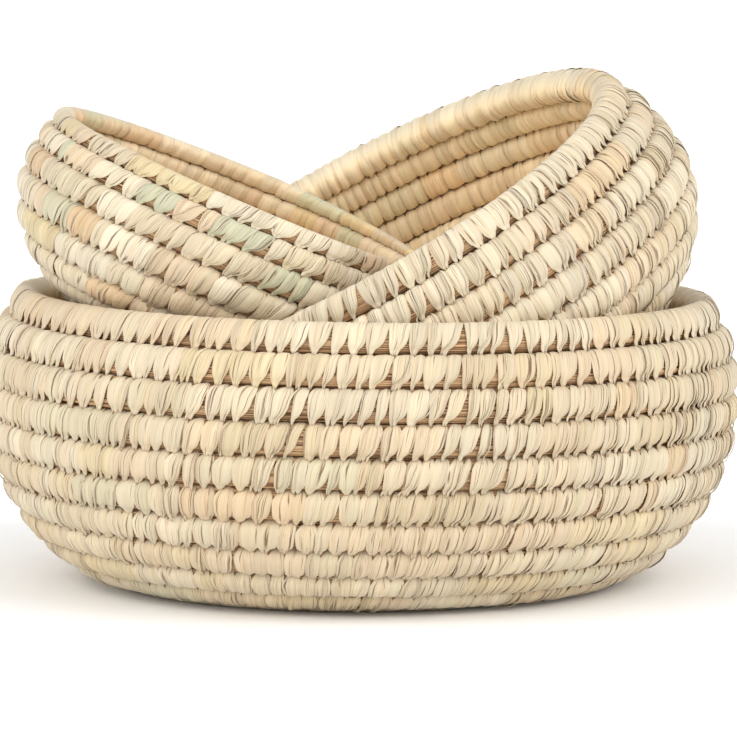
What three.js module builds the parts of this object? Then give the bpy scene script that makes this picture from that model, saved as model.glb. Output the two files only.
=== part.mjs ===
// A set of three nesting baskets of coiled date-palm fibre, bound with strips of date leaf.
// Each basket is one unbroken coil: it unwinds from a start knot, covers the flat base, climbs
// the round side and ends in a rim that tapers onto the row below it.
// The large basket stands on its base, the medium one leans in its mouth, and the small one
// leans in the mouth of the medium one.
import * as THREE from 'three';

// Large basket: millimetres and degrees
const largeRowPitch = 17.9;
const largeCordThickness = 18.2;
const largeBaseRadius = 124;
const largeBellyRadius = 202;
const largeCornerHeight = 100;
const largeShoulderHeight = 52;
const largeRimRadius = 184;
const largeCoilEndAngle = 105;
const largeRimCordShare = 1;

// Medium basket: millimetres and degrees
const mediumRowPitch = 16.9;
const mediumCordThickness = 17;
const mediumBaseRadius = 74;
const mediumBellyRadius = 167.9;
const mediumCornerHeight = 73;
const mediumShoulderHeight = 54;
const mediumRimRadius = 150.5;
const mediumCoilEndAngle = 180;
const mediumRimCordShare = 1;
const mediumOvalRatio = 1.07;
const mediumBaseOffsetX = 51;
const mediumBaseOffsetY = 11.6;
const mediumSidewaysAngle = -28.6;
const mediumForwardAngle = 10.5;

// Small basket: millimetres and degrees
const smallRowPitch = 16.8;
const smallCordThickness = 16.8;
const smallBaseRadius = 44;
const smallBellyRadius = 111;
const smallCornerHeight = 61.5;
const smallShoulderHeight = 29.2;
const smallRimRadius = 105.3;
const smallCoilEndAngle = 0;
const smallRimCordShare = 0.523;
const smallBaseOffsetX = -101.6;
const smallBaseOffsetY = -32.3;
const smallSidewaysAngle = 22.76;
const smallForwardAngle = -0.49;

// Shared sizes: millimetres and degrees
const rowGap = 0.6;
const cutGap = 0.3;
const restingGap = 0.5;
const flatCutShare = 0.1;
const taperTurns = 0.22;
const taperedTipShare = 0.4;
const coilStartRows = 1.15;
const thinningTurns = 3.67;

// Facets of the coils
const sectionSides = 6;
const largeStepsPerTurn = 22;
const mediumStepsPerTurn = 18;
const smallStepsPerTurn = 16;
const coarseStepRadius = 66;

const leafCream = '#eadfc3';
const leafWarm = '#e3d3b0';
const leafPale = '#efe6d0';

// The line that the middle of the cord follows in half a section of the basket,
// from the middle of the base, out round the belly and in again to the rim.
function cordLine(basket) {
  const baseLevel = basket.cordThickness * (0.5 - flatCutShare);
  const bellyLevel = baseLevel + basket.cornerHeight;
  const cornerWidth = basket.bellyRadius - basket.baseRadius;
  const line = new THREE.Path();
  line.moveTo(0, baseLevel);
  line.lineTo(basket.baseRadius, baseLevel);
  line.absellipse(basket.baseRadius, bellyLevel, cornerWidth, basket.cornerHeight, -Math.PI / 2, 0, false);
  const shoulderMiddle = bellyLevel + basket.shoulderHeight / 2;
  line.quadraticCurveTo(basket.bellyRadius, shoulderMiddle, basket.rimRadius, bellyLevel + basket.shoulderHeight);
  return line;
}

// The cord's share of its full thickness at a number of turns from its end at the rim.
function cordShare(basket, fromEnd) {
  return THREE.MathUtils.lerp(basket.rimCordShare, 1, Math.min(fromEnd / thinningTurns, 1));
}

// How many full rows the cord fills below the rim in a number of turns from its end.
function rowsBelowRim(basket, fromEnd) {
  const thinTurns = Math.min(fromEnd, thinningTurns);
  const meanShare = (basket.rimCordShare + cordShare(basket, thinTurns)) / 2;
  return thinTurns * meanShare + fromEnd - thinTurns;
}

// The six corners of the cord at a number of turns from its end. Two corners point at the
// neighbouring rows and two flats lie on the inside and the outside of the wall.
function cordSection(basket, line, length, distance, angle, fromEnd) {
  const middle = line.getPoint(distance / length);
  const along = line.getTangent(distance / length);
  const outward = new THREE.Vector2(along.y, -along.x);
  const share = cordShare(basket, fromEnd);
  const size = THREE.MathUtils.lerp(taperedTipShare, 1, Math.min(fromEnd / taperTurns, 1));
  const halfHeight = (basket.rowPitch * share - rowGap) / 2;
  const halfThickness = basket.cordThickness * share / 2 / Math.cos(Math.PI / sectionSides);
  const corners = [];
  for (let side = 0; side < sectionSides; side += 1) {
    const turn = (side + 0.5) * 2 * Math.PI / sectionSides;
    const up = size * halfHeight * Math.sin(turn) - (1 - size) * halfHeight;
    const out = size * halfThickness * Math.cos(turn);
    const radius = middle.x + along.x * up + outward.x * out;
    const height = Math.max(middle.y + along.y * up + outward.y * out, 0);
    corners.push(new THREE.Vector3(radius * Math.cos(angle), radius * Math.sin(angle), height));
  }
  return corners;
}

// Every section of a basket's coil, from its start at the knot to its tapered end at the rim.
// The coil climbs clockwise seen from above, and all turns share the same step angles,
// so that the facets of neighbouring rows lie side by side.
function coilSections(basket) {
  const line = cordLine(basket);
  const length = line.getLength();
  const endAngle = THREE.MathUtils.degToRad(basket.coilEndAngle);
  const stepAngle = 2 * Math.PI / basket.stepsPerTurn;
  const rowsLostToThinning = thinningTurns - rowsBelowRim(basket, thinningTurns);
  const turns = length / basket.rowPitch - coilStartRows + rowsLostToThinning;
  let steps = Math.floor(turns * basket.stepsPerTurn);
  steps -= steps % 2;
  const sections = [];
  for (let step = steps; step >= 0; step -= 1) {
    const fromEnd = step / basket.stepsPerTurn;
    const distance = length - rowsBelowRim(basket, fromEnd) * basket.rowPitch;
    if (distance < coarseStepRadius && step % 2 === 1) continue;
    const angle = endAngle + step * stepAngle;
    const corners = cordSection(basket, line, length, distance, angle, fromEnd);
    sections.push({ corners, distance, angle, fromEnd });
  }
  return sections;
}

// A closed solid over a run of sections, with a flat face at each end.
function tubeThrough(sections) {
  const positions = [];
  for (const corners of sections) {
    for (const corner of corners) positions.push(corner.x, corner.y, corner.z);
  }
  const faces = [];
  const last = (sections.length - 1) * sectionSides;
  for (let ring = 0; ring < sections.length - 1; ring += 1) {
    for (let side = 0; side < sectionSides; side += 1) {
      const a = ring * sectionSides + side;
      const b = ring * sectionSides + (side + 1) % sectionSides;
      faces.push(a, b, a + sectionSides, b, b + sectionSides, a + sectionSides);
    }
  }
  for (let side = 1; side < sectionSides - 1; side += 1) {
    faces.push(0, side + 1, side);
    faces.push(last, last + side, last + side + 1);
  }
  const geometry = new THREE.BufferGeometry();
  geometry.setAttribute('position', new THREE.Float32BufferAttribute(positions, 3));
  geometry.setIndex(faces);
  geometry.computeVertexNormals();
  return geometry;
}

// The stretch of coil between two section numbers. Its first face stands back from the
// stretch before it by the cut gap.
function coilStretch(sections, first, last) {
  const corners = sections.slice(first, last + 1).map((section) => section.corners);
  const step = corners[0][0].distanceTo(corners[1][0]);
  const back = cutGap / step;
  corners[0] = corners[0].map((corner, side) => corner.clone().lerp(corners[1][side], back));
  return tubeThrough(corners);
}

// The start knot is a flat snail: its edge follows the first turn of the coil, which
// unwinds from the snail's step.
function startKnot(basket, sections) {
  const firstTurn = sections.filter((section) => section.angle > sections[0].angle - 2 * Math.PI - 0.01);
  const halfRow = basket.rowPitch / 2 + rowGap / 2;
  const outline = new THREE.Shape();
  firstTurn.forEach((section, index) => {
    const edge = section.distance - halfRow;
    let angle = section.angle;
    if (index === firstTurn.length - 1) angle += cutGap / edge;
    const x = edge * Math.cos(angle);
    const y = edge * Math.sin(angle);
    if (index === 0) outline.moveTo(x, y);
    else outline.lineTo(x, y);
  });
  const top = basket.cordThickness * (1 - flatCutShare);
  const geometry = new THREE.ExtrudeGeometry(outline, { depth: top, bevelEnabled: false });
  return geometry;
}

// The least distance between the corners of each row and the row after it.
function leastGap(sections) {
  const nearlyATurn = 0.08;
  let least = Infinity;
  for (let early = 0; early < sections.length; early += 1) {
    for (let late = early + 1; late < sections.length; late += 1) {
      const turns = (sections[early].angle - sections[late].angle) / (2 * Math.PI);
      if (Math.abs(turns - 1) > nearlyATurn) continue;
      for (const a of sections[early].corners) {
        for (const b of sections[late].corners) least = Math.min(least, a.distanceTo(b));
      }
    }
  }
  return least;
}

function leafMesh(name, geometry, colour) {
  const material = new THREE.MeshStandardMaterial({ color: colour, roughness: 0.82, metalness: 0 });
  const mesh = new THREE.Mesh(geometry, material);
  mesh.name = name;
  return mesh;
}

// A basket standing on its own base at the origin.
function coiledBasket(basket) {
  const sections = coilSections(basket);
  const lastBase = sections.findLastIndex((section) => section.distance <= basket.baseRadius);
  const lastSide = sections.findLastIndex((section) => section.fromEnd >= 1);
  const end = sections.length - 1;
  const group = new THREE.Group();
  group.add(leafMesh(`${basket.name}_start_knot`, startKnot(basket, sections), leafWarm));
  group.add(leafMesh(`${basket.name}_base_coil`, coilStretch(sections, 0, lastBase), leafWarm));
  group.add(leafMesh(`${basket.name}_side_coil`, coilStretch(sections, lastBase, lastSide), leafCream));
  group.add(leafMesh(`${basket.name}_rim_coil`, coilStretch(sections, lastSide, end), leafPale));
  const turns = (sections[0].angle - sections[end].angle) / (2 * Math.PI);
  const gap = leastGap(sections);
  console.log(`${basket.name} coil: ${turns.toFixed(1)} turns, least gap to itself ${gap.toFixed(2)} mm`);
  return group;
}

// The corners, edges and faces of a group, in the set's own frame.
function surfaceOf(group) {
  group.updateMatrixWorld(true);
  const surface = { corners: [], edges: [], faces: [] };
  group.traverse((mesh) => {
    if (!mesh.isMesh) return;
    const points = mesh.geometry.getAttribute('position');
    const corners = [];
    for (let corner = 0; corner < points.count; corner += 1) {
      corners.push(new THREE.Vector3().fromBufferAttribute(points, corner).applyMatrix4(mesh.matrixWorld));
    }
    const order = mesh.geometry.index ? Array.from(mesh.geometry.index.array) : corners.map((_, place) => place);
    for (let first = 0; first < order.length; first += 3) {
      const [a, b, c] = order.slice(first, first + 3);
      surface.faces.push([corners[a], corners[b], corners[c]]);
      for (const [from, to] of [[a, b], [b, c], [c, a]]) {
        if (!mesh.geometry.index || from < to) surface.edges.push([corners[from], corners[to]]);
      }
    }
    surface.corners.push(...corners);
  });
  return surface;
}

// How far a point lies above a face, or Infinity where the face isn't above or below it.
function heightAbove(point, face) {
  const [a, b, c] = face;
  const area = (b.x - a.x) * (c.y - a.y) - (c.x - a.x) * (b.y - a.y);
  if (area === 0) return Infinity;
  const towardsB = ((point.x - a.x) * (c.y - a.y) - (c.x - a.x) * (point.y - a.y)) / area;
  const towardsC = ((b.x - a.x) * (point.y - a.y) - (point.x - a.x) * (b.y - a.y)) / area;
  if (towardsB < 0 || towardsC < 0 || towardsB + towardsC > 1) return Infinity;
  return point.z - a.z - towardsB * (b.z - a.z) - towardsC * (c.z - a.z);
}

// How far one edge crosses above another, or Infinity where they don't cross in plan.
function crossingHeight(upper, lower) {
  const [a, b] = upper;
  const [c, d] = lower;
  if (Math.max(a.x, b.x) < Math.min(c.x, d.x) || Math.max(c.x, d.x) < Math.min(a.x, b.x)) return Infinity;
  if (Math.max(a.y, b.y) < Math.min(c.y, d.y) || Math.max(c.y, d.y) < Math.min(a.y, b.y)) return Infinity;
  const turn = (b.x - a.x) * (d.y - c.y) - (b.y - a.y) * (d.x - c.x);
  if (turn === 0) return Infinity;
  const onUpper = ((c.x - a.x) * (d.y - c.y) - (c.y - a.y) * (d.x - c.x)) / turn;
  const onLower = ((c.x - a.x) * (b.y - a.y) - (c.y - a.y) * (b.x - a.x)) / turn;
  if (onUpper < 0 || onUpper > 1 || onLower < 0 || onLower > 1) return Infinity;
  return a.z + onUpper * (b.z - a.z) - c.z - onLower * (d.z - c.z);
}

// How far a group that hangs clear above some others can sink before it first touches them.
function sinkingRoom(upperGroup, lowerGroups) {
  const upper = surfaceOf(upperGroup);
  let room = Infinity;
  for (const lowerGroup of lowerGroups) {
    const lower = surfaceOf(lowerGroup);
    for (const face of lower.faces) {
      for (const corner of upper.corners) room = Math.min(room, heightAbove(corner, face));
    }
    for (const face of upper.faces) {
      for (const corner of lower.corners) {
        const height = heightAbove(corner, face);
        if (height !== Infinity) room = Math.min(room, -height);
      }
    }
    for (const edge of upper.edges) {
      for (const other of lower.edges) room = Math.min(room, crossingHeight(edge, other));
    }
  }
  return room;
}

// Tilts a basket, lets it down from clear above the others and leaves the resting gap.
function leanIn(basket, others, offsetX, offsetY, sidewaysAngle, forwardAngle) {
  const clearHeight = 1000;
  const forward = THREE.MathUtils.degToRad(forwardAngle);
  const sideways = THREE.MathUtils.degToRad(sidewaysAngle);
  basket.rotation.set(forward, sideways, 0, 'YXZ');
  basket.position.set(offsetX, offsetY, clearHeight);
  basket.position.z -= sinkingRoom(basket, others) - restingGap;
}

const large = coiledBasket({
  name: 'large',
  rowPitch: largeRowPitch,
  cordThickness: largeCordThickness,
  baseRadius: largeBaseRadius,
  bellyRadius: largeBellyRadius,
  cornerHeight: largeCornerHeight,
  shoulderHeight: largeShoulderHeight,
  rimRadius: largeRimRadius,
  coilEndAngle: largeCoilEndAngle,
  rimCordShare: largeRimCordShare,
  stepsPerTurn: largeStepsPerTurn,
});
const medium = coiledBasket({
  name: 'medium',
  rowPitch: mediumRowPitch,
  cordThickness: mediumCordThickness,
  baseRadius: mediumBaseRadius,
  bellyRadius: mediumBellyRadius,
  cornerHeight: mediumCornerHeight,
  shoulderHeight: mediumShoulderHeight,
  rimRadius: mediumRimRadius,
  coilEndAngle: mediumCoilEndAngle,
  rimCordShare: mediumRimCordShare,
  stepsPerTurn: mediumStepsPerTurn,
});
const small = coiledBasket({
  name: 'small',
  rowPitch: smallRowPitch,
  cordThickness: smallCordThickness,
  baseRadius: smallBaseRadius,
  bellyRadius: smallBellyRadius,
  cornerHeight: smallCornerHeight,
  shoulderHeight: smallShoulderHeight,
  rimRadius: smallRimRadius,
  coilEndAngle: smallCoilEndAngle,
  rimCordShare: smallRimCordShare,
  stepsPerTurn: smallStepsPerTurn,
});
medium.scale.set(mediumOvalRatio, 1 / mediumOvalRatio, 1);
leanIn(medium, [large], mediumBaseOffsetX, mediumBaseOffsetY, mediumSidewaysAngle, mediumForwardAngle);
leanIn(small, [large, medium], smallBaseOffsetX, smallBaseOffsetY, smallSidewaysAngle, smallForwardAngle);

const group = new THREE.Group();
group.add(large, medium, small);

export default group;
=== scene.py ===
"""Three nesting baskets of coiled palm fibre, wrapped and sewn with strips of date leaf.

Each basket is one coil. A bundle of palm fibre is its core, and narrow strips of leaf wrap the
core, go down over the outside and pierce the row below, so that each row is sewn to the last.
"""
import logging
import math
from dataclasses import dataclass
from enum import Enum

import bpy
import numpy as np
from mathutils import Euler, Matrix, Vector


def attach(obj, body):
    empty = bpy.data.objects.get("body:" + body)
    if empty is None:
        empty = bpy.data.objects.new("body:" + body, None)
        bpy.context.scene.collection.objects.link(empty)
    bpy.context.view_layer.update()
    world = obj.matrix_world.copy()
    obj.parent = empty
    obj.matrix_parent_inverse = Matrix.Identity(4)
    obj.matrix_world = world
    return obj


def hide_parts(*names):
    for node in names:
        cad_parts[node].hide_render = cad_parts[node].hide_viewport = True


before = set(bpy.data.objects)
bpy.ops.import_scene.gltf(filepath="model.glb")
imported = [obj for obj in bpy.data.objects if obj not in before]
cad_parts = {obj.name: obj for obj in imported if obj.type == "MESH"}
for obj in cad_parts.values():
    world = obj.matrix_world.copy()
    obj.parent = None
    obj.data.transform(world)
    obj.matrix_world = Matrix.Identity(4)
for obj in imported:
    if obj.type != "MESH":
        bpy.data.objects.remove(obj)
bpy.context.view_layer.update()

log = logging.getLogger("baskets")

MM = 0.001
FLAT_CUT_SHARE = 0.1
TAPER_TURNS = 0.22
TAPERED_TIP_SHARE = 0.4
COIL_START_ROWS = 1.15
THINNING_TURNS = 3.67
OUTER_SQUARENESS = 2.6
INNER_SQUARENESS = 2.4
MOST_STRIPS_IN_A_PIECE = 760

Array = np.ndarray
Colour = tuple[float, float, float]
Socket = bpy.types.NodeSocket


def between(first: float, last: float, share: Array) -> Array:
    """Gives what lies a share of the way from the first value to the last."""
    return first + (last - first) * share


class Stretch(Enum):
    """The stretches of a coil, in the order in which the maker works them."""

    KNOT = "start_knot"
    BASE = "base_coil"
    SIDE = "side_coil"
    RIM = "rim_coil"


@dataclass(frozen=True)
class BasketSizes:
    """The driving sizes of one basket, in metres, and its lean, in degrees."""

    name: str
    row_pitch: float
    cord_thickness: float
    base_radius: float
    belly_radius: float
    corner_height: float
    shoulder_height: float
    rim_radius: float
    coil_end_angle: float
    rim_cord_share: float = 1.0
    oval_ratio: float = 1.0
    base_offset: tuple[float, float] = (0.0, 0.0)
    sideways_angle: float = 0.0
    forward_angle: float = 0.0


@dataclass(frozen=True)
class WrapHabit:
    """How one basket's strips are laid.

    A slant is in wraps along the cord, and angles are in degrees. Strips stand open from 0 to 1,
    and further round the front angle, down to the last of the open rows.
    """

    spacing: float
    slant: float
    openness: float
    front_openness: float
    front_angle: float
    front_spread: float
    open_rows: float
    strips_per_wrap: float
    plumpness: float
    pinch: float
    longest_run: int
    own_colour: float
    # Painted light: lightens and warms the strips' inside, for light bounced inside the basket.
    painted_inside_light: Colour
    seed: int


@dataclass(frozen=True)
class LeafTone:
    """One colour that strips of leaf come in, and how often it is picked."""

    colour: Colour
    share: float


class CordLine:
    """The line that the middle of the cord follows in half a section of a basket."""

    SAMPLES = 240

    def __init__(self, sizes: BasketSizes) -> None:
        """Lays the line from the middle of the base round the belly to the rim.

        Args:
            sizes: the basket's driving sizes.
        """
        base_level = sizes.cord_thickness * (0.5 - FLAT_CUT_SHARE)
        belly_level = base_level + sizes.corner_height
        corner_width = sizes.belly_radius - sizes.base_radius
        share = np.linspace(0.0, 1.0, self.SAMPLES)
        turn = share * math.pi / 2
        flat = np.stack([share * sizes.base_radius, np.full_like(share, base_level)], 1)
        corner_radius = sizes.base_radius + corner_width * np.sin(turn)
        corner = np.stack([corner_radius, belly_level - sizes.corner_height * np.cos(turn)], 1)
        draw_in = (sizes.belly_radius - sizes.rim_radius) * share**2
        shoulder_level = belly_level + sizes.shoulder_height * share
        shoulder = np.stack([sizes.belly_radius - draw_in, shoulder_level], 1)
        points = np.concatenate([flat, corner[1:], shoulder[1:]])
        steps = np.linalg.norm(np.diff(points, axis=0), axis=1)
        self.length = float(steps.sum())
        past_rim = points[-1] + (points[-1] - points[-2]) / steps[-1] * sizes.row_pitch
        points = np.concatenate([points, past_rim[None]])
        self._distance = np.concatenate([[0.0], np.cumsum(np.append(steps, sizes.row_pitch))])
        tangents = np.gradient(points, self._distance, axis=0)
        tangents /= np.linalg.norm(tangents, axis=1)[:, None]
        self._points = points
        self._tangents = tangents

    def place(self, distance: Array, out: Array) -> tuple[Array, Array]:
        """Finds points beside the line.

        Args:
            distance: how far along the line each point is, in metres.
            out: how far outward from the line it is, in metres.

        Returns:
            The radius and the height of each point.
        """
        radius, height = (np.interp(distance, self._distance, self._points[:, k]) for k in (0, 1))
        across, up = (np.interp(distance, self._distance, self._tangents[:, k]) for k in (0, 1))
        return radius + up * out, height - across * out

    def radius(self, distance: Array) -> Array:
        """Gives the radius of the line itself at each distance."""
        return np.interp(distance, self._distance, self._points[:, 0])


class Coil:
    """The cord's spiral. Turns are counted back from the cord's end at the rim. They run
    counter-clockwise seen from above, and the cord goes down as they count up."""

    KNOT_START_ROWS = 0.14
    STEPS_PER_TURN = 96
    ROOM_FOR_WRAPS = 0.35 * MM
    LEAST_RADIUS_ROWS = 0.3
    LEAST_RADIUS = 0.4 * MM
    LOWEST = 0.1 * MM

    def __init__(self, sizes: BasketSizes) -> None:
        """Winds the coil.

        Args:
            sizes: the basket's driving sizes.
        """
        self.sizes = sizes
        self.line = CordLine(sizes)
        self.half_row = sizes.row_pitch / 2
        self.half_thickness = sizes.cord_thickness / 2 - self.ROOM_FOR_WRAPS
        rows_lost_to_thinning = THINNING_TURNS - float(self.rows_below_rim(THINNING_TURNS))
        turns = self.line.length / sizes.row_pitch + rows_lost_to_thinning
        self.base_turn = turns - sizes.base_radius / sizes.row_pitch
        self.knot_turn = turns - COIL_START_ROWS
        self.last_turn = turns - self.KNOT_START_ROWS
        self._turn = np.linspace(0.0, self.last_turn, int(self.last_turn * self.STEPS_PER_TURN))
        pace = 2 * math.pi * self.line.radius(self.row(self._turn))
        steps = np.diff(self._turn) * (pace[1:] + pace[:-1]) / 2
        self._run = np.concatenate([[0.0], np.cumsum(steps)])

    def bounds(self, stretch: Stretch) -> tuple[float, float]:
        """Gives where a stretch starts and ends.

        Args:
            stretch: the stretch.

        Returns:
            Its first and last turn.
        """
        return {
            Stretch.RIM: (0.0, 1.0),
            Stretch.SIDE: (1.0, self.base_turn),
            Stretch.BASE: (self.base_turn, self.knot_turn),
            Stretch.KNOT: (self.knot_turn, self.last_turn),
        }[stretch]

    def share(self, turn: Array) -> Array:
        """Gives how thick the cord is at each turn, next to its full thickness, without the taper."""
        return between(self.sizes.rim_cord_share, 1, np.clip(turn / THINNING_TURNS, 0, 1))

    def rows_below_rim(self, turn: Array) -> Array:
        """Gives how many full rows the cord fills between the rim and each turn."""
        thin = np.minimum(turn, THINNING_TURNS)
        return thin * (self.sizes.rim_cord_share + self.share(thin)) / 2 + turn - thin

    def taper(self, turn: Array) -> Array:
        """Gives how far the cord is drawn in at each turn, near its end at the rim."""
        return between(TAPERED_TIP_SHARE, 1, np.clip(turn / TAPER_TURNS, 0, 1))

    def row(self, turn: Array) -> Array:
        """Gives the distance along the cord line of the cord's middle at each turn."""
        drop = (1 - self.taper(turn)) * self.share(turn) * self.half_row
        return self.line.length - self.rows_below_rim(turn) * self.sizes.row_pitch - drop

    def run_at(self, turn: float) -> float:
        """Gives the length of cord between the rim's end and a turn."""
        return float(np.interp(turn, self._turn, self._run))

    def turn_at(self, run: Array) -> Array:
        """Gives the turn at each length of cord counted from the rim's end."""
        return np.interp(run, self._run, self._turn)

    def turns_a_metre(self, turn: Array) -> Array:
        """Gives how many turns a metre of cord would make at each turn."""
        least_radius = self.sizes.row_pitch * self.LEAST_RADIUS_ROWS
        return 1 / (2 * math.pi * np.maximum(self.line.radius(self.row(turn)), least_radius))

    def surface(self, turn: Array, up: Array, out: Array) -> Array:
        """Finds points on or near the wrapped cord, in the basket's own frame.

        Args:
            turn: the turn of each point.
            up: its place across the row, from -1 at the row below to 1 at the row above.
            out: its place through the wall, from -1 inside to 1 outside.

        Returns:
            An array of points with x, y and z last.
        """
        size = self.taper(turn) * self.share(turn)
        distance = self.row(turn) + up * size * self.half_row
        radius, height = self.line.place(distance, out * size * self.half_thickness)
        radius = np.maximum(radius, self.LEAST_RADIUS)
        soft_floor = self.sizes.cord_thickness * FLAT_CUT_SHARE
        squeezed = between(self.LOWEST, soft_floor, (height / soft_floor + 1) / 2)
        height = np.where(height < soft_floor, np.maximum(squeezed, self.LOWEST), height)
        angle = math.radians(self.sizes.coil_end_angle) + 2 * math.pi * turn
        return np.stack([radius * np.cos(angle), radius * np.sin(angle), height], -1)


class Placement:
    """Where a basket stands in the set, as the CAD model rests it."""

    def __init__(self, sizes: BasketSizes) -> None:
        """Works out the place from the lean and from the frame's start knot.

        Args:
            sizes: the basket's driving sizes.
        """
        forward, sideways = map(math.radians, (sizes.forward_angle, sizes.sideways_angle))
        turn = Matrix.Rotation(sideways, 3, "Y") @ Matrix.Rotation(forward, 3, "X")
        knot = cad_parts[f"{sizes.name}_{Stretch.KNOT.value}"]
        offset = Vector((*sizes.base_offset, 0.0))
        upright = turn.col[2]
        lowest = min((vertex.co - offset).dot(upright) for vertex in knot.data.vertices)
        self.origin = np.array(offset) + np.array((0.0, 0.0, lowest / upright.z))
        self.turn = np.array(turn)
        self.stretch = np.array((sizes.oval_ratio, 1 / sizes.oval_ratio, 1.0))

    def apply(self, points: Array) -> Array:
        """Moves points from the basket's own frame to the set's frame."""
        return (points * self.stretch) @ self.turn.T + self.origin


def cord_section(theta: Array) -> tuple[Array, Array]:
    """Gives the cord's rounded section.

    Args:
        theta: the angle round the section, 0 outward and a quarter turn up.

    Returns:
        The places up and out, each from -1 to 1.
    """
    outside = np.cos(theta) > 0
    flatness = np.where(outside, 2 / OUTER_SQUARENESS, 2 / INNER_SQUARENESS)
    up = np.sign(np.sin(theta)) * np.abs(np.sin(theta)) ** flatness
    out = np.sign(np.cos(theta)) * np.abs(np.cos(theta)) ** flatness
    return up, out


@dataclass
class StripLay:
    """The strips of one stretch, one value for each strip, offsets and widths in metres."""

    turn: Array
    side: Array
    share: Array
    crest_offset: Array
    drift: Array
    tip_offset: Array
    inner_offset: Array
    crest_half: Array
    tip_half: Array
    inner_half: Array
    narrowing: Array
    notch: Array
    reach: Array
    lift: Array
    curl: Array
    tilt: Array
    fold: Array
    tone: Array
    chance: Array

    def part(self, first: int, last: int) -> "StripLay":
        """Gives the strips from first up to last."""
        return StripLay(*(getattr(self, name)[first:last] for name in self.__dataclass_fields__))


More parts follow.
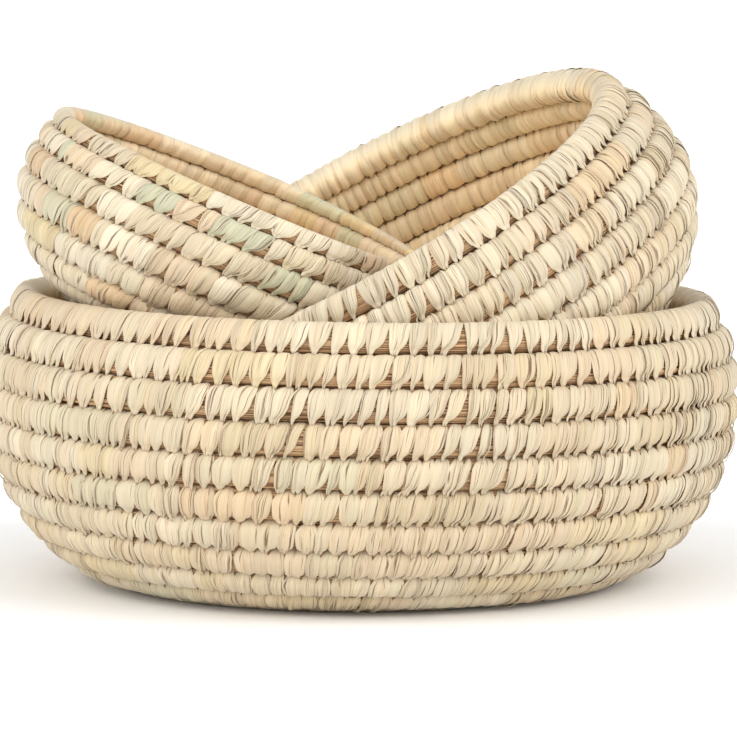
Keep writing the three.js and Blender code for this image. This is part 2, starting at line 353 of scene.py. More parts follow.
@dataclass(frozen=True)
class StripPath:
    """The path of a strip round the cord, from its tip outside, over the crest, to its inner end.

    Angles go round the cord's section, and a list holds a value for each step of the path or for
    each point across the strip.
    """

    OUTER_ANGLES = np.radians([88, 72, 56, 40, 24, 8, -8, -24, -38, -50])
    TIP_START = 0.94
    TIP_SHARES = np.array([0.97, 1.0, 1.0, 1.0])
    TIP_UP = np.array([-0.92, -1.0, -1.0, -1.0])
    TIP_REACH = np.array([0.0, 0.2, 0.6, 1.0])
    TIP_OUT = np.array([0.68, 0.66, 0.64, 0.3])
    TIP_POINT = np.array([0.95, 0.75, 0.5, 0.2])
    DRIFT_BEND = 1.3
    CURL_BEND = 3
    NOTCH_REACH = 0.4
    OUTER_SWELL = 0.4 * MM
    BODY_SWELL = 1.0 * MM
    BODY_ROUNDNESS = 0.7

    INNER_ANGLES = np.radians([104, 120, 136, 152, 168, 184, 200, 216, 232, 246, 258])
    INNER_START = 0.08
    INNER_BEND = 1.1
    INNER_END_WIDTH = 0.54
    INNER_ROUNDNESS = 0.6
    INNER_SWELL = 2.5 * MM
    INNER_SWELL_START = 0.3
    INNER_SWELL_RISE = 3
    CREST_REACH = 0.22

    ACROSS = np.array([-1.0, -0.78, -0.3, 0.3, 0.78, 1.0])
    CROWN = np.array([-0.26, 0.0, 0.08, 0.08, 0.0, -0.26]) * MM
    FOLD = np.array([0.2, 0.5, -0.6, 0.6, -0.5, -0.2])
    SUNK_SHARE = 0.6
    CREST_SHARPNESS = 3
    CREST_WIDTH = 0.5
    RIM_UNEVENNESS = 0.25
    CELL_ASPECT = 3
    CELL_MARGIN = 0.04

    coil: Coil
    lay: StripLay
    plumpness: float

    def _outer_leg(self) -> tuple[Array, ...]:
        """Works out the leg from the crest down the outside to the tip.

        Returns:
            Places up and out, offsets along the cord, half widths, how far the wrap swells and how
            far the strip curls off it, each with a row for every strip and a column for every step.
        """
        lay = self.lay
        one = np.ones((len(lay.turn), 1))
        section_up, section_out = cord_section(self.OUTER_ANGLES)
        tip_up = self.TIP_UP - lay.reach[:, None] * self.TIP_REACH
        up = np.concatenate([one * section_up, tip_up], 1)
        out = np.concatenate([one * section_out, one * self.TIP_OUT], 1)
        section_share = np.linspace(0, self.TIP_START, len(self.OUTER_ANGLES))
        share = np.concatenate([section_share, self.TIP_SHARES])[None]
        point = np.concatenate([np.ones_like(section_share), self.TIP_POINT])
        narrow = share ** lay.narrowing[:, None]
        pinched = 1 - lay.notch[:, None] * np.clip(1 - share / self.NOTCH_REACH, 0, 1)
        offset = lay.crest_offset[:, None] * (1 - narrow) + lay.tip_offset[:, None] * narrow
        offset = offset * pinched + lay.drift[:, None] * share**self.DRIFT_BEND
        half = lay.crest_half[:, None] * (1 - narrow) + lay.tip_half[:, None] * narrow
        half = half * pinched * point
        bulge = np.sin(share * math.pi) ** self.BODY_ROUNDNESS
        swell = one * between(self.OUTER_SWELL, self.BODY_SWELL * self.plumpness, bulge)
        curl = lay.curl[:, None] * share**self.CURL_BEND
        return up, out, offset, half, swell, curl

    def _inner_leg(self) -> tuple[Array, ...]:
        """Works out the leg from the crest down the inside.

        Returns:
            The same values as for the outer leg.
        """
        lay = self.lay
        one = np.ones((len(lay.turn), 1))
        section_up, section_out = cord_section(self.INNER_ANGLES)
        share = np.linspace(self.INNER_START, 1, len(self.INNER_ANGLES))[None]
        bend = share**self.INNER_BEND
        blend = np.clip(share / self.CREST_REACH, 0, 1)
        crest_offset = lay.crest_offset[:, None] * (1 - lay.notch[:, None] * (1 - blend))
        offset = crest_offset * (1 - bend) + lay.inner_offset[:, None] * bend
        belly = np.sin(share * math.pi) ** self.INNER_ROUNDNESS
        half = lay.inner_half[:, None] * between(self.INNER_END_WIDTH, 1.0, belly)
        crest_half = lay.crest_half[:, None] * (1 - lay.notch[:, None])
        half = crest_half * (1 - blend) + half * blend
        rise = np.clip(share * self.INNER_SWELL_RISE, self.INNER_SWELL_START, 1)
        swell = one * self.INNER_SWELL * rise
        return one * section_up, one * section_out, offset, half, swell, np.zeros_like(half)

    def mesh(self, name: str, place: Placement) -> bpy.types.Mesh:
        """Builds the strips as one mesh.

        Args:
            name: the mesh's name.
            place: where the basket stands.

        Returns:
            The mesh, with its maps and each strip's tone and chance.
        """
        lay = self.lay
        legs = zip(self._outer_leg(), self._inner_leg())
        joined = (np.concatenate([outer[:, ::-1], inner], 1) for outer, inner in legs)
        up, out, offset, half, swell, curl = joined
        out = out + curl / self.coil.half_thickness
        count, steps = up.shape
        wide = len(self.ACROSS)
        shift = offset[..., None] + half[..., None] * self.ACROSS
        turns_a_metre = self.coil.turns_a_metre(lay.turn)[:, None, None]
        turn = np.clip(lay.turn[:, None, None] + turns_a_metre * shift, 0.0, self.coil.last_turn)
        in_wrap = 2 * lay.side[:, None] + lay.share[:, None] * self.ACROSS
        rounding = np.clip(1 - in_wrap**2, 0, 1)[:, None]
        creased = lay.tilt[:, None] * self.ACROSS + lay.fold[:, None] * self.FOLD
        on_strip = (lay.lift[:, None] + creased + self.CROWN)[:, None]
        near_crest = np.exp(-((np.abs(out) / self.CREST_WIDTH) ** 2))[..., None]
        in_rim = (lay.turn < 1)[:, None, None]
        unevenness = np.where(in_rim, between(1.0, self.RIM_UNEVENNESS, near_crest), 1.0)
        raised = (swell[..., None] * (rounding - self.SUNK_SHARE) + on_strip) * unevenness
        out_wide = out[..., None] + np.sign(out)[..., None] * raised / self.coil.half_thickness
        crest = np.where(up > 0, 1 - np.abs(out), 0.0)[..., None] ** self.CREST_SHARPNESS
        up_wide = up[..., None] + crest * raised / self.coil.half_row
        points = place.apply(self.coil.surface(turn, up_wide, out_wide))
        grid = np.arange(count * steps * wide).reshape(count, steps, wide)
        corners = (grid[:, :-1, :-1], grid[:, :-1, 1:], grid[:, 1:, 1:], grid[:, 1:, :-1])
        faces = np.stack(corners, -1).reshape(-1, 4)
        mesh = mesh_of_quads(name, points.reshape(-1, 3), faces)
        across = np.broadcast_to((self.ACROSS + 1) / 2, (count, steps, wide))
        along = np.broadcast_to(np.linspace(0, 1, steps)[None, :, None], (count, steps, wide))
        places = np.stack([across, along], -1)
        add_map(mesh, "strip", faces, places.reshape(-1, 2))
        columns = math.ceil(math.sqrt(count * self.CELL_ASPECT))
        rows = math.ceil(count / columns)
        cell = np.stack([np.arange(count) % columns, np.arange(count) // columns], -1)
        inset = between(self.CELL_MARGIN, 1 - self.CELL_MARGIN, places)
        cells = (cell[:, None, None] + inset) / (columns, rows)
        add_map(mesh, "OFBake", faces, cells.reshape(-1, 2))
        add_values(mesh, "tone", np.repeat(lay.tone, steps * wide, axis=0))
        add_values(mesh, "chance", np.repeat(lay.chance, steps * wide))
        return mesh


def mesh_of_quads(name: str, points: Array, faces: Array) -> bpy.types.Mesh:
    """Makes a smooth-shaded mesh.

    Args:
        name: the mesh's name.
        points: its points, in metres.
        faces: four point numbers for each face.

    Returns:
        The mesh.
    """
    mesh = bpy.data.meshes.new(name)
    mesh.vertices.add(len(points))
    mesh.vertices.foreach_set("co", np.ascontiguousarray(points, dtype=np.float32).ravel())
    mesh.loops.add(faces.size)
    mesh.loops.foreach_set("vertex_index", faces.ravel().astype(np.int32))
    mesh.polygons.add(len(faces))
    mesh.polygons.foreach_set("loop_start", np.arange(0, faces.size, 4, dtype=np.int32))
    mesh.update(calc_edges=True)
    mesh.polygons.foreach_set("use_smooth", np.ones(len(faces), dtype=bool))
    return mesh


def add_map(mesh: bpy.types.Mesh, name: str, faces: Array, places: Array) -> None:
    """Adds a texture map to a mesh.

    Args:
        mesh: the mesh.
        name: the map's name.
        faces: the mesh's faces.
        places: the place in the map of each point.
    """
    layer = mesh.uv_layers.new(name=name)
    layer.data.foreach_set("uv", places[faces.ravel()].astype(np.float32).ravel())


def add_values(mesh: bpy.types.Mesh, name: str, values: Array) -> None:
    """Adds a value or a colour for each point of a mesh.

    Args:
        mesh: the mesh.
        name: the attribute's name.
        values: one value, or one red, green and blue, for each point.
    """
    if values.ndim == 1:
        mesh.attributes.new(name, "FLOAT", "POINT").data.foreach_set("value", values.astype(np.float32))
        return
    colours = np.concatenate([values, np.ones((len(values), 1))], 1).astype(np.float32)
    mesh.attributes.new(name, "FLOAT_COLOR", "POINT").data.foreach_set("color", colours.ravel())


def linear(colour: Colour) -> tuple[float, ...]:
    """Turns a display colour, from 0 to 255, into a linear one, from 0 to 1."""
    shares = (value / 255 for value in colour)
    return tuple(s / 12.92 if s <= 0.04045 else ((s + 0.055) / 1.055) ** 2.4 for s in shares)


@dataclass(frozen=True)
class StripLayer:
    """Lays one basket's strips along its coil, in the maker's order.

    Spreads and pairs of limits are for chance. A pair whose name ends in BY_OPENNESS holds the
    value for a closed wrap and for an open one, and BY_SHARE for a narrow strip and a whole wrap.
    """

    FEWEST_WRAPS = 6
    WRAP_WIDTHS = (0.6, 1.4)
    SLANT_SPREAD = 0.18
    TIP_PLACE_SPREAD = 0.07
    STEADY_OPENNESS = 0.55
    OPENNESS_SPREAD = 0.17
    LEAST_OPENNESS = 0.02
    OPEN_ROWS_FADE = 1.5
    WAVE_RATE = 17.3
    WAVE_WANDER = 4
    WANDER_RATE = 5.1
    RUN_SHADES = (0.95, 1.05)

    MOST_STRIPS_IN_A_WRAP = 4
    STRIP_NUMBER_SPREAD = 0.8
    STRIP_WEIGHTS = (0.5, 1.6)
    LOOSE_SHARE = 0.12
    LOOSE_WIDTH = 0.2
    LOOSE_DRIFTS = (0.6, 2.0)
    LOOSE_LIFTS = (0.3, 0.9)
    CURL = 0.7 * MM
    MOST_CURL = 1.8 * MM

    CREST_COVER = 0.61
    CREST_OVERLAP = 0.3 * MM
    CREST_SPREAD = 0.02
    DRIFT_BY_OPENNESS = (0.5, 1.0)
    TIP_PLACE_BY_OPENNESS = (0.55, 0.1)
    TIP_SPREAD = 0.03
    TIP_WIDTH_BY_OPENNESS = (0.3, 0.08)
    TIP_WIDTH_BY_SHARE = (0.35, 1.0)
    NARROWINGS = (1.3, 2.7)
    CLOSED_NARROWING = 2.4
    NARROWING_SPREAD = 0.12
    NOTCHES = (0.35, 0.95)
    NOTCH_START_TURN = 0.7
    LEAST_NOTCH = 0.1
    INNER_PLACE = 0.8
    INNER_SLANT = 0.35
    INNER_SPREAD = 0.02
    INNER_WIDTH_BY_SHARE = (0.1, 0.62)
    INNER_WIDTHS = (0.94, 1.04)
    LIFTS = (-0.1, 0.4)
    REACHES = (0.2, 0.46)
    REACH_BY_OPENNESS = (0.6, 1.0)
    SHADE_SPREAD = 0.04
    HUE_SPREAD = 0.008
    TILT = -0.12
    TILT_SPREAD = 0.16
    FOLD_SPREAD = 0.14

    coil: Coil
    habit: WrapHabit
    tones: tuple[LeafTone, ...]

    def _openness(self, turn: Array, rng: np.random.Generator) -> Array:
        """Works out how far apart the strips' lower ends stand.

        Args:
            turn: the turn of each wrap.
            rng: the stretch's own chance.

        Returns:
            A value from 0 to 1 for each wrap.
        """
        habit = self.habit
        angle = np.radians(self.coil.sizes.coil_end_angle + 360 * turn - habit.front_angle)
        near_front = np.exp((np.cos(angle) - 1) / math.radians(habit.front_spread) ** 2)
        upper = np.clip((habit.open_rows + 0.5 - turn) / self.OPEN_ROWS_FADE, 0, 1)
        wander = self.WAVE_WANDER * np.sin(turn * self.WANDER_RATE)
        waves = 0.5 + 0.5 * np.sin(turn * self.WAVE_RATE + wander)
        steady = habit.openness * between(self.STEADY_OPENNESS, 1.0, waves)
        level = steady + habit.front_openness * near_front * upper
        level += rng.normal(0, self.OPENNESS_SPREAD, len(turn))
        return np.clip(level, self.LEAST_OPENNESS, 1.0)

    def _tone_runs(self, count: int, rng: np.random.Generator) -> Array:
        """Picks a colour for each wrap, the same one for as long as a strip lasts.

        Args:
            count: how many wraps there are.
            rng: the stretch's own chance.

        Returns:
            A linear red, green and blue for each wrap.
        """
        colours = np.array([linear(tone.colour) for tone in self.tones])
        shares = np.array([tone.share for tone in self.tones])
        middle = (colours * shares[:, None]).sum(0) / shares.sum()
        picked = np.empty((count, 3))
        place = 0
        while place < count:
            run = int(rng.integers(1, self.habit.longest_run))
            tone = colours[rng.choice(len(colours), p=shares / shares.sum())]
            mixed = tone * self.habit.own_colour + middle * (1 - self.habit.own_colour)
            picked[place : place + run] = mixed * rng.uniform(*self.RUN_SHADES)
            place += run
        return picked

    def _split(self, count: int, rng: np.random.Generator) -> tuple[Array, ...]:
        """Splits the wraps into strips, and lays a loose sliver over some of them.

        Args:
            count: how many wraps there are.
            rng: the stretch's own chance.

        Returns:
            For each strip the number of its wrap, whether it is loose, its share of the wrap's
            width, and where its middle is in the wrap, from -0.5 to 0.5.
        """
        most = self.MOST_STRIPS_IN_A_WRAP
        numbers = np.round(rng.normal(self.habit.strips_per_wrap, self.STRIP_NUMBER_SPREAD, count))
        numbers = np.clip(numbers, 1, most).astype(int)
        weights = rng.uniform(*self.STRIP_WEIGHTS, (count, most)) * (np.arange(most) < numbers[:, None])
        weights /= weights.sum(1, keepdims=True)
        middles = np.cumsum(weights, 1) - weights / 2 - 0.5
        shown = weights > 0
        wrap = np.nonzero(shown)[0]
        again = np.nonzero(rng.random(len(wrap)) < self.LOOSE_SHARE)[0]
        loose = np.concatenate([np.zeros(len(wrap), dtype=bool), np.ones(len(again), dtype=bool)])
        share = np.concatenate([weights[shown], weights[shown][again] * self.LOOSE_WIDTH])
        side = np.concatenate([middles[shown], middles[shown][again]])
        wrap = np.concatenate([wrap, wrap[again]])
        order = np.argsort(wrap, kind="stable")
        return wrap[order], loose[order], share[order], side[order]

    def lay(self, stretch: Stretch) -> StripLay:
        """Lays the strips of one stretch.

        Args:
            stretch: the stretch.

        Returns:
            The strips.
        """
        habit = self.habit
        rng = np.random.default_rng([habit.seed, list(Stretch).index(stretch)])
        first, last = (self.coil.run_at(turn) for turn in self.coil.bounds(stretch))
        wraps = max(int((last - first) / habit.spacing), self.FEWEST_WRAPS)
        widths = rng.uniform(*self.WRAP_WIDTHS, wraps)
        widths *= (last - first) / widths.sum()
        wrap_turn = self.coil.turn_at(first + np.cumsum(widths) - widths / 2)
        wrap_openness = self._openness(wrap_turn, rng)
        wrap_tone = self._tone_runs(wraps, rng)
        wrap_slant = habit.slant + rng.normal(0, self.SLANT_SPREAD, wraps)
        wrap_tip_place = rng.normal(0, self.TIP_PLACE_SPREAD, wraps)
        wrap, loose, share, side = self._split(wraps, rng)
        count = len(wrap)
        openness, slant, width = wrap_openness[wrap], wrap_slant[wrap], widths[wrap]
        crest_place = side + rng.normal(0, self.CREST_SPREAD, count)
        loose_drift = np.where(loose, rng.uniform(*self.LOOSE_DRIFTS, count), 1.0)
        drift = habit.spacing * slant * between(*self.DRIFT_BY_OPENNESS, openness) * loose_drift
        tip_place = side * between(*self.TIP_PLACE_BY_OPENNESS, openness) + wrap_tip_place[wrap]
        tip_place += rng.normal(0, self.TIP_SPREAD, count)
        tip_width = between(*self.TIP_WIDTH_BY_OPENNESS, openness)
        narrowing = rng.uniform(*self.NARROWINGS, wraps)
        narrowing += self.CLOSED_NARROWING * (1 - wrap_openness)
        notch = rng.uniform(*self.NOTCHES, wraps) * habit.pinch
        notch *= np.clip(wrap_turn - self.NOTCH_START_TURN, self.LEAST_NOTCH, 1.0)
        inner_place = side * self.INNER_PLACE - slant * self.INNER_SLANT
        inner_place += rng.normal(0, self.INNER_SPREAD, count)
        inner_width = between(*self.INNER_WIDTH_BY_SHARE, share) * rng.uniform(*self.INNER_WIDTHS, count)
        lift = rng.uniform(*self.LIFTS, count) + loose * rng.uniform(*self.LOOSE_LIFTS, count)
        curl = loose * np.minimum(rng.exponential(self.CURL, count), self.MOST_CURL)
        reach = rng.uniform(*self.REACHES, count) * between(*self.REACH_BY_OPENNESS, openness)
        shade = rng.normal(1.0, self.SHADE_SPREAD, (count, 1)) + rng.normal(0, self.HUE_SPREAD, (count, 3))
        return StripLay(
            turn=wrap_turn[wrap],
            side=side,
            share=share,
            crest_offset=width * crest_place,
            drift=drift,
            tip_offset=width * tip_place,
            inner_offset=width * inner_place,
            crest_half=width * share * self.CREST_COVER + self.CREST_OVERLAP,
            tip_half=width * tip_width * between(*self.TIP_WIDTH_BY_SHARE, share),
            inner_half=width * inner_width,
            narrowing=narrowing[wrap] + rng.normal(0, self.NARROWING_SPREAD, count),
            notch=notch[wrap],
            reach=reach,
            lift=lift * MM,
            curl=curl,
            tilt=rng.normal(self.TILT, self.TILT_SPREAD, count) * MM,
            fold=rng.normal(0, self.FOLD_SPREAD, count) * MM,
            tone=np.clip(wrap_tone[wrap] * shade, 0, 1),
            chance=rng.random(count),
        )


@dataclass(frozen=True)
class Grain:
    """Noise on a strip: how fast it changes across and along, how fine it is and where it starts."""

    across: float
    along: float
    detail: float
    start: float


class NodeBoard:
    """Helps to wire a material's nodes."""

    def __init__(self, name: str) -> None:
        """Starts a material with one principled shader.

        Args:
            name: the material's name.
        """
        self.material = bpy.data.materials.new(name)
        self.material.use_nodes = True
        self.tree = self.material.node_tree
        self.shader = self.tree.nodes["Principled BSDF"]

    def add(self, kind: str, inputs: dict | None = None, **settings: object) -> bpy.types.Node:
        """Adds a node.

        Args:
            kind: the node's type.
            inputs: values or sockets for its inputs, by name or number.
            settings: its own properties.

        Returns:
            The node.
        """
        node = self.tree.nodes.new(kind)
        for name, value in settings.items():
            setattr(node, name, value)
        self.feed(node, inputs or {})
        return node

    def feed(self, node: bpy.types.Node, inputs: dict) -> None:
        """Gives a node's inputs their values.

        Args:
            node: the node.
            inputs: values, or sockets to link, by the input's name or number.
        """
        for key, value in inputs.items():
            if isinstance(value, Socket):
                self.tree.links.new(value, node.inputs[key])
            else:
                node.inputs[key].default_value = value

    def ramp(self, source: Socket, stops: tuple[tuple[float, float], ...]) -> Socket:
        """Maps a value through grey stops.

        Args:
            source: the value.
            stops: each stop's place and grey.

        Returns:
            The mapped value.
        """
        node = self.add("ShaderNodeValToRGB", {"Fac": source})
        elements = node.color_ramp.elements
        while len(elements) < len(stops):
            elements.new(0.5)
        for element, (place, grey) in zip(elements, stops):
            element.position = place
            element.color = (grey, grey, grey, 1.0)
        return node.outputs["Color"]

    def maths(self, operation: str, first: object, second: object = 0.0) -> Socket:
        """Does one sum on two values or sockets."""
        return self.add("ShaderNodeMath", {0: first, 1: second}, operation=operation).outputs[0]

    def mix(self, share: object, first: object, second: object, blend: str = "MIX") -> Socket:
        """Mixes two colours, given the share of the second and the way of mixing."""
        inputs = {0: share, 6: first, 7: second}
        return self.add("ShaderNodeMix", inputs, data_type="RGBA", blend_type=blend).outputs[2]


class StripBoard(NodeBoard):
    """The nodes of a material that knows the place across and along each strip, and its chance."""

    CHANCE_REACH = 37.0

    def __init__(self, name: str) -> None:
        """Starts the material.

        Args:
            name: the material's name.
        """
        super().__init__(name)
        places = self.add("ShaderNodeUVMap", uv_map="strip").outputs["UV"]
        split = self.add("ShaderNodeSeparateXYZ", {0: places})
        self.across, self.along = split.outputs["X"], split.outputs["Y"]
        chance = self.add("ShaderNodeAttribute", attribute_name="chance").outputs["Fac"]
        self.own_start = self.maths("MULTIPLY", chance, self.CHANCE_REACH)

    def noise(self, grain: Grain) -> Socket:
        """Adds noise that is drawn out along the strip and differs from strip to strip.

        Args:
            grain: the kind of noise.

        Returns:
            The noise, from 0 to 1.
        """
        across = self.maths("MULTIPLY", self.across, grain.across)
        along = self.maths("MULTIPLY", self.along, grain.along)
        start = self.maths("ADD", self.own_start, grain.start)
        spot = self.add("ShaderNodeCombineXYZ", {0: across, 1: along, 2: start}).outputs[0]
        noise = self.add("ShaderNodeTexNoise", {"Vector": spot, "Scale": 1.0, "Detail": grain.detail})
        return noise.outputs["Fac"]


@dataclass(frozen=True)
class LeafFinish:
    """Dried date leaf: fine ribs along the strip, dark torn edges with painted shade, splits, a soft sheen.

    Stops pair a value with the grey that it is mapped to, and shares say how strongly a mark shows.
    """

    RIBS = Grain(16.0, 1.6, 2.0, 0.0)
    BROAD = Grain(2.2, 2.6, 2.0, 11.0)
    SPLITS = Grain(3.2, 0.7, 2.0, 23.0)
    SPLIT_PLACES = Grain(2.5, 2.2, 1.0, 47.0)
    WEAR = Grain(1.5, 6.0, 2.0, 31.0)
    RIB_STOPS = ((0.3, 0.0), (0.44, 0.82), (0.7, 1.0))
    BROAD_STOPS = ((0.3, 0.88), (0.6, 1.0))
    SPLIT_STOPS = ((0.014, 1.0), (0.036, 0.0))
    SPLIT_PLACE_STOPS = ((0.53, 0.0), (0.6, 1.0))
    WEAR_STOPS = ((0.4, 0.1), (0.56, 1.0))
    ROUGHNESS_STOPS = ((0.3, 0.54), (0.7, 0.72))
    EDGE_STOPS = ((0.86, 0.0), (0.96, 1.0))
    TIP_SHADE_STOPS = ((0.0, 1.0), (0.11, 0.0))
    OUTSIDE_STOPS = ((0.52, 1.0), (0.64, 0.0))
    BELOW_CREST_STOPS = ((0.4, 1.0), (0.54, 0.2))
    LEAST_RIB_SHARE = 0.3
    BROAD_SHARE = 0.75
    LEAST_EDGE_SHARE = 0.4
    EDGE_SHARE = 0.85
    SPLIT_SHARE = 0.8
    SPLIT_DEPTH_SHARE = 0.7
    # How strongly the painted shade at the strips' tips shows.
    TIP_SHARE = 0.55
    RIB_DEPTH = 0.18 * MM
    BUMP = 0.7
    SPECULAR = 0.32
    SHEEN = 0.15

    name: str
    # Painted light: lightens and warms the strips' inside, for light bounced inside the basket.
    painted_inside_light: Colour
    rib_tint: Colour = (0.84, 0.7, 0.54)
    # Brown of torn edges, also used for painted shade between strips and at the tips.
    edge_and_shade_colour: Colour = (120, 73, 32)
    split_colour: Colour = (86, 50, 22)

    def material(self) -> bpy.types.Material:
        """Builds the finish's material.

        Returns:
            The material.
        """
        board = StripBoard(self.name)
        ribs, broad = board.noise(self.RIBS), board.noise(self.BROAD)
        tone = board.add("ShaderNodeAttribute", attribute_name="tone").outputs["Color"]
        outside = board.ramp(board.along, self.OUTSIDE_STOPS)
        # Painted light: the inner leg is lightened and warmed, for light bounced inside the basket.
        tone = board.mix(outside, board.mix(1.0, tone, (*self.painted_inside_light, 1.0), "MULTIPLY"), tone)
        rib_shade = board.mix(board.ramp(ribs, self.RIB_STOPS), (*self.rib_tint, 1.0), (1.0, 1.0, 1.0, 1.0))
        rib_share = board.maths("MAXIMUM", outside, self.LEAST_RIB_SHARE)
        colour = board.mix(rib_share, tone, rib_shade, "MULTIPLY")
        colour = board.mix(self.BROAD_SHARE, colour, board.ramp(broad, self.BROAD_STOPS), "MULTIPLY")

        below_crest = board.ramp(board.along, self.BELOW_CREST_STOPS)
        # Darkens the strips' edges: partly the brown of torn edges, partly painted shade between strips.
        from_middle = board.maths("ABSOLUTE", board.maths("SUBTRACT", board.across, 0.5))
        edge = board.ramp(board.maths("MULTIPLY", from_middle, 2.0), self.EDGE_STOPS)
        edge = board.maths("MULTIPLY", edge, board.maths("MAXIMUM", below_crest, self.LEAST_EDGE_SHARE))
        edge_dashes = board.ramp(board.noise(self.WEAR), self.WEAR_STOPS)
        edge = board.maths("MULTIPLY", edge, board.maths("MULTIPLY", edge_dashes, self.EDGE_SHARE))
        edge_and_shade_colour = (*linear(self.edge_and_shade_colour), 1.0)
        colour = board.mix(edge, colour, edge_and_shade_colour)

        from_line = board.maths("ABSOLUTE", board.maths("SUBTRACT", board.noise(self.SPLITS), 0.5))
        split_places = board.ramp(board.noise(self.SPLIT_PLACES), self.SPLIT_PLACE_STOPS)
        split = board.maths("MULTIPLY", board.ramp(from_line, self.SPLIT_STOPS), split_places)
        split = board.maths("MULTIPLY", split, below_crest)
        split_share = board.maths("MULTIPLY", split, self.SPLIT_SHARE)
        colour = board.mix(split_share, colour, (*linear(self.split_colour), 1.0))
        # Painted shade: darkens each strip's tip, where it dives under the row below.
        tip_shade_share = board.maths("MULTIPLY", board.ramp(board.along, self.TIP_SHADE_STOPS), self.TIP_SHARE)
        colour = board.mix(tip_shade_share, colour, edge_and_shade_colour)

        height = board.maths("SUBTRACT", ribs, board.maths("MULTIPLY", split, self.SPLIT_DEPTH_SHARE))
        relief = {"Height": height, "Distance": self.RIB_DEPTH, "Strength": self.BUMP}
        look = {
            "Base Color": colour,
            "Normal": board.add("ShaderNodeBump", relief).outputs[0],
            "Roughness": board.ramp(broad, self.ROUGHNESS_STOPS),
            "Specular IOR Level": self.SPECULAR,
            "Sheen Weight": self.SHEEN,
        }
        board.feed(board.shader, look)
        return board.material


@dataclass(frozen=True)
class StrawFinish:
    """The palm fibre of the core: loose straws along the cord, brown and grey."""

    STRAWS = Grain(38.0, 1.0, 3.0, 0.0)
    PATCHES = Grain(3.0, 0.5, 2.0, 0.0)
    STRAW_STOPS = ((0.4, 0.0), (0.57, 1.0))
    PATCH_STOPS = ((0.35, 0.72), (0.65, 1.05))
    STRAW_DEPTH = 0.5 * MM
    BUMP = 0.9
    ROUGHNESS = 0.85
    SPECULAR = 0.2

    name: str
    pale: Colour = (206, 168, 126)
    dark: Colour = (92, 58, 31)

    def material(self) -> bpy.types.Material:
        """Builds the finish's material.

        Returns:
            The material.
        """
        board = StripBoard(self.name)
        straws, patches = board.noise(self.STRAWS), board.noise(self.PATCHES)
        shade = board.ramp(straws, self.STRAW_STOPS)
        colour = board.mix(shade, (*linear(self.dark), 1.0), (*linear(self.pale), 1.0))
        relief = {"Height": straws, "Distance": self.STRAW_DEPTH, "Strength": self.BUMP}
        look = {
            "Base Color": board.mix(1.0, colour, board.ramp(patches, self.PATCH_STOPS), "MULTIPLY"),
            "Normal": board.add("ShaderNodeBump", relief).outputs[0],
            "Roughness": self.ROUGHNESS,
            "Specular IOR Level": self.SPECULAR,
        }
        board.feed(board.shader, look)
        return board.material


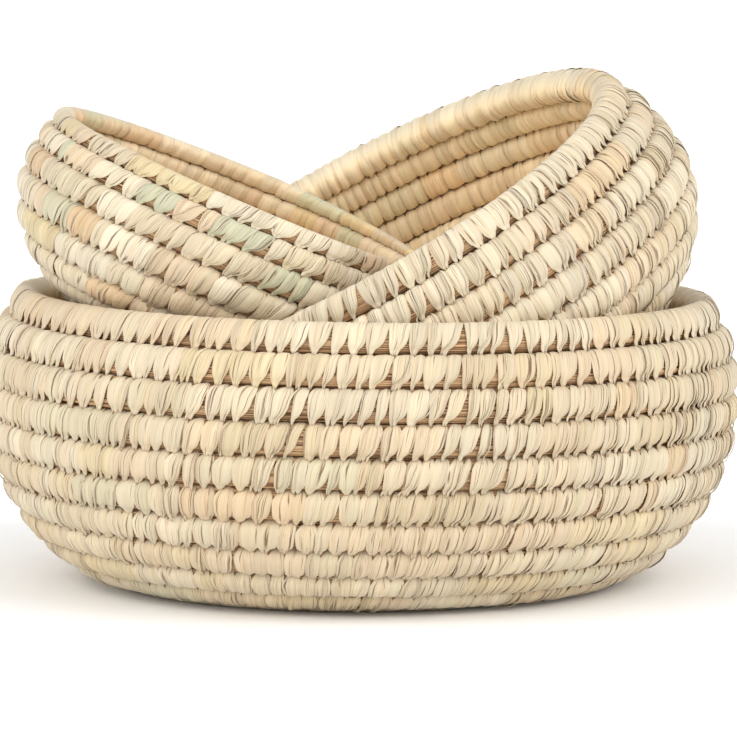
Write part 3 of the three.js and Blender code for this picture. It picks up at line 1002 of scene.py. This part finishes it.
class Basket:
    """One basket: its fibre core and its wrapping, stretch by stretch."""

    CORE_AROUND = 26
    CORE_STEP = 4.5 * MM
    FEWEST_CORE_RINGS = 12
    CORE_SHARE_UP = 1.0
    CORE_SHARE_UP_IN_RIM = 0.93
    CORE_SHARE_OUT = 0.81
    STRAW_RIDGES = 13
    STRAW_RIDGE_HEIGHT = 0.035
    STRAW_TWIST_A_METRE = 40
    STRAW_MAP_LENGTH = 60 * MM

    def __init__(
        self, sizes: BasketSizes, habit: WrapHabit, tones: tuple[LeafTone, ...], straw: bpy.types.Material
    ) -> None:
        """Sets up the basket.

        Args:
            sizes: its driving sizes.
            habit: how its strips are laid.
            tones: the colours of its leaf.
            straw: the material of its core.
        """
        self.sizes = sizes
        self.coil = Coil(sizes)
        self.place = Placement(sizes)
        self.layer = StripLayer(self.coil, habit, tones)
        self.leaf = LeafFinish(f"{sizes.name}_leaf", habit.painted_inside_light).material()
        self.straw = straw
        self.body = f"{sizes.name}_basket"

    def _core_faces(self, grid: Array) -> Array:
        """Joins the rings of the core and closes its two ends.

        Args:
            grid: the point numbers, with a row for every ring.

        Returns:
            Four point numbers for each face.
        """
        after = np.roll(grid, -1, axis=1)
        sides = np.stack([grid[:-1], grid[1:], after[1:], after[:-1]], -1).reshape(-1, 4)
        near = np.arange(self.CORE_AROUND // 2 - 1)
        ends = (
            np.stack([ring[near], ring[near + 1], ring[-near - 2], ring[-near - 1]], -1)
            for ring in (grid[0, ::-1], grid[-1])
        )
        return np.concatenate([sides, *ends])

    def _core_mesh(self, name: str, stretch: Stretch) -> bpy.types.Mesh:
        """Builds the bundle of fibre inside one stretch of the cord.

        Args:
            name: the mesh's name.
            stretch: the stretch.

        Returns:
            The mesh, with its map.
        """
        first, last = (self.coil.run_at(turn) for turn in self.coil.bounds(stretch))
        rings = max(int((last - first) / self.CORE_STEP), self.FEWEST_CORE_RINGS)
        run = np.linspace(first, last, rings)[:, None]
        theta = np.linspace(0, 2 * math.pi, self.CORE_AROUND, endpoint=False)[None]
        ridges = np.cos(theta * self.STRAW_RIDGES + run * self.STRAW_TWIST_A_METRE)
        straws = 1 + self.STRAW_RIDGE_HEIGHT * ridges
        section_up, section_out = cord_section(theta)
        share_up = self.CORE_SHARE_UP_IN_RIM if stretch is Stretch.RIM else self.CORE_SHARE_UP
        up = section_up * straws * share_up
        out = section_out * straws * self.CORE_SHARE_OUT
        turn = np.broadcast_to(self.coil.turn_at(run), up.shape)
        points = self.place.apply(self.coil.surface(turn, up, out))
        faces = self._core_faces(np.arange(up.size).reshape(up.shape))
        mesh = mesh_of_quads(name, points.reshape(-1, 3), faces)
        around = np.broadcast_to(np.abs(theta / math.pi - 1), up.shape)
        along = np.broadcast_to(run / self.STRAW_MAP_LENGTH, up.shape)
        add_map(mesh, "strip", faces, np.stack([around, along], -1).reshape(-1, 2))
        add_values(mesh, "chance", np.zeros(up.size))
        return mesh

    def _show(self, mesh: bpy.types.Mesh, material: bpy.types.Material) -> bpy.types.Object:
        """Puts a mesh in the scene and lets it ride on the basket's body.

        Args:
            mesh: the mesh.
            material: its material.

        Returns:
            The piece.
        """
        mesh.materials.append(material)
        piece = bpy.data.objects.new(mesh.name, mesh)
        bpy.context.scene.collection.objects.link(piece)
        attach(piece, self.body)
        return piece

    def build(self) -> None:
        """Builds every stretch of the basket."""
        name = self.sizes.name
        for stretch in Stretch:
            node = f"{name}_{stretch.value}"
            core_mesh = self._core_mesh(f"{node}_fibre", stretch)
            core = self._show(core_mesh, self.straw)
            lay = self.layer.lay(stretch)
            count = len(lay.turn)
            shares = math.ceil(count / MOST_STRIPS_IN_A_PIECE)
            marks = np.linspace(0, count, shares + 1).astype(int)
            for number, (start, stop) in enumerate(zip(marks[:-1], marks[1:]), 1):
                wraps_name = f"{node}_wraps" if shares == 1 else f"{node}_wraps_{number}"
                path = StripPath(self.coil, lay.part(start, stop), self.layer.habit.plumpness)
                mesh = path.mesh(wraps_name, self.place)
                wraps = self._show(mesh, self.leaf)
                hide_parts(node)
            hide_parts(node)
            log.info("%s: %d strips in %d pieces", node, count, shares)


class Studio:
    """A plain pale floor, soft light and the camera. A window has a strength and a direction."""

    FLOOR_HALF = 14.0
    FLOOR_DROP = 0.3 * MM
    FLOOR_GREY = 0.96
    FLOOR_ROUGHNESS = 0.9
    CAMERA_PLACE = (4.17 * MM, -3200 * MM, 467.6 * MM)
    CAMERA_PITCH = 6.25
    CAMERA_REACH = 50.0
    LENS = 281.0
    SENSOR = 36.0
    ROOM_STRENGTH = 0.78
    WINDOW_ANGLE = 50.0
    WINDOWS = {
        "left_window": (1.16, (0.85, 0.45, -0.6)),
        "right_window": (1.47, (-0.85, 0.45, -0.6)),
        "front_window": (0.82, (0.15, 1.0, -0.4)),
    }

    def floor(self) -> None:
        """Lays the floor."""
        half = self.FLOOR_HALF
        corners = [(-half, -half, 0), (half, -half, 0), (half, half, 0), (-half, half, 0)]
        mesh = bpy.data.meshes.new("floor")
        mesh.from_pydata(corners, [], [(0, 1, 2, 3)])
        floor = bpy.data.objects.new("floor", mesh)
        floor.location.z = -self.FLOOR_DROP
        board = NodeBoard("pale_floor")
        grey = self.FLOOR_GREY
        board.feed(board.shader, {"Base Color": (grey, grey, grey, 1.0), "Roughness": self.FLOOR_ROUGHNESS})
        mesh.materials.append(board.material)
        bpy.context.scene.collection.objects.link(floor)

    def lights(self) -> None:
        """Sets the white surroundings and a broad, soft light from the left, right and front."""
        world = bpy.data.worlds.new("white_room")
        world.use_nodes = True
        background = world.node_tree.nodes["Background"].inputs
        background["Color"].default_value = (1, 1, 1, 1)
        background["Strength"].default_value = self.ROOM_STRENGTH
        bpy.context.scene.world = world
        for name, (strength, direction) in self.WINDOWS.items():
            light = bpy.data.lights.new(name, "SUN")
            light.energy = strength
            light.angle = math.radians(self.WINDOW_ANGLE)
            window = bpy.data.objects.new(name, light)
            window.rotation_euler = Vector(direction).to_track_quat("-Z", "Y").to_euler()
            bpy.context.scene.collection.objects.link(window)

    def camera(self) -> None:
        """Sets the camera at the photograph's angle."""
        lens = bpy.data.cameras.new("camera")
        lens.sensor_width = self.SENSOR
        lens.lens = self.LENS
        lens.clip_end = self.CAMERA_REACH
        camera = bpy.data.objects.new("camera", lens)
        camera.location = self.CAMERA_PLACE
        camera.rotation_euler = Euler((math.radians(90 - self.CAMERA_PITCH), 0, 0))
        bpy.context.scene.collection.objects.link(camera)
        bpy.context.scene.camera = camera
        bpy.context.scene.view_settings.view_transform = "Standard"


LARGE = BasketSizes(
    name="large",
    row_pitch=17.9 * MM,
    cord_thickness=18.2 * MM,
    base_radius=124 * MM,
    belly_radius=202 * MM,
    corner_height=100 * MM,
    shoulder_height=52 * MM,
    rim_radius=184 * MM,
    coil_end_angle=105,
)
MEDIUM = BasketSizes(
    name="medium",
    row_pitch=16.9 * MM,
    cord_thickness=17 * MM,
    base_radius=74 * MM,
    belly_radius=167.9 * MM,
    corner_height=73 * MM,
    shoulder_height=54 * MM,
    rim_radius=150.5 * MM,
    coil_end_angle=180,
    oval_ratio=1.07,
    base_offset=(51 * MM, 11.6 * MM),
    sideways_angle=-28.6,
    forward_angle=10.5,
)
SMALL = BasketSizes(
    name="small",
    row_pitch=16.8 * MM,
    cord_thickness=16.8 * MM,
    base_radius=44 * MM,
    belly_radius=111 * MM,
    corner_height=61.5 * MM,
    shoulder_height=29.2 * MM,
    rim_radius=105.3 * MM,
    coil_end_angle=0,
    rim_cord_share=0.523,
    base_offset=(-101.6 * MM, -32.3 * MM),
    sideways_angle=22.76,
    forward_angle=-0.49,
)

LARGE_HABIT = WrapHabit(
    spacing=8.2 * MM,
    slant=-0.95,
    openness=0.2,
    front_openness=0.5,
    front_angle=280,
    front_spread=30,
    open_rows=5,
    strips_per_wrap=2.1,
    plumpness=0.8,
    pinch=1.0,
    longest_run=8,
    own_colour=0.4,
    painted_inside_light=(1.38, 1.26, 1.11),
    seed=11,
)
MEDIUM_HABIT = WrapHabit(
    spacing=7.4 * MM,
    slant=-0.62,
    openness=0.22,
    front_openness=0.5,
    front_angle=245,
    front_spread=40,
    open_rows=3,
    strips_per_wrap=2.0,
    plumpness=2.1,
    pinch=0.9,
    longest_run=8,
    own_colour=0.45,
    painted_inside_light=(1.4, 1.29, 1.12),
    seed=12,
)
SMALL_HABIT = WrapHabit(
    spacing=9.6 * MM,
    slant=-0.95,
    openness=0.34,
    front_openness=0.24,
    front_angle=290,
    front_spread=50,
    open_rows=4,
    strips_per_wrap=2.0,
    plumpness=0.4,
    pinch=0.6,
    longest_run=4,
    own_colour=0.72,
    painted_inside_light=(1.12, 1.0, 0.87),
    seed=13,
)

CREAM = LeafTone((206, 193, 166), 3.4)
PALE = LeafTone((218, 209, 186), 2.8)
TAN = LeafTone((201, 182, 146), 2.0)
PINKISH = LeafTone((207, 186, 157), 1.8)
YELLOWISH = LeafTone((208, 191, 147), 0.8)
GREENISH = LeafTone((196, 194, 166), 0.35)
ORANGE = LeafTone((206, 176, 136), 0.4)
GREEN = LeafTone((186, 190, 163), 1.0)

LARGE_TONES = (CREAM, PALE, TAN, PINKISH, YELLOWISH, GREENISH, ORANGE)
MEDIUM_TONES = (CREAM, PALE, PALE, PINKISH, TAN, GREENISH, ORANGE)
SMALL_TONES = (CREAM, PALE, GREEN, GREENISH, PINKISH, YELLOWISH, ORANGE)


def main() -> None:
    """Builds the studio and the three baskets."""
    logging.basicConfig(level=logging.INFO, format="%(message)s")
    studio = Studio()
    studio.camera()
    studio.floor()
    studio.lights()
    straw = StrawFinish("core_straw").material()
    Basket(LARGE, LARGE_HABIT, LARGE_TONES, straw).build()
    Basket(MEDIUM, MEDIUM_HABIT, MEDIUM_TONES, straw).build()
    Basket(SMALL, SMALL_HABIT, SMALL_TONES, straw).build()


if __name__ == "__main__":
    main()
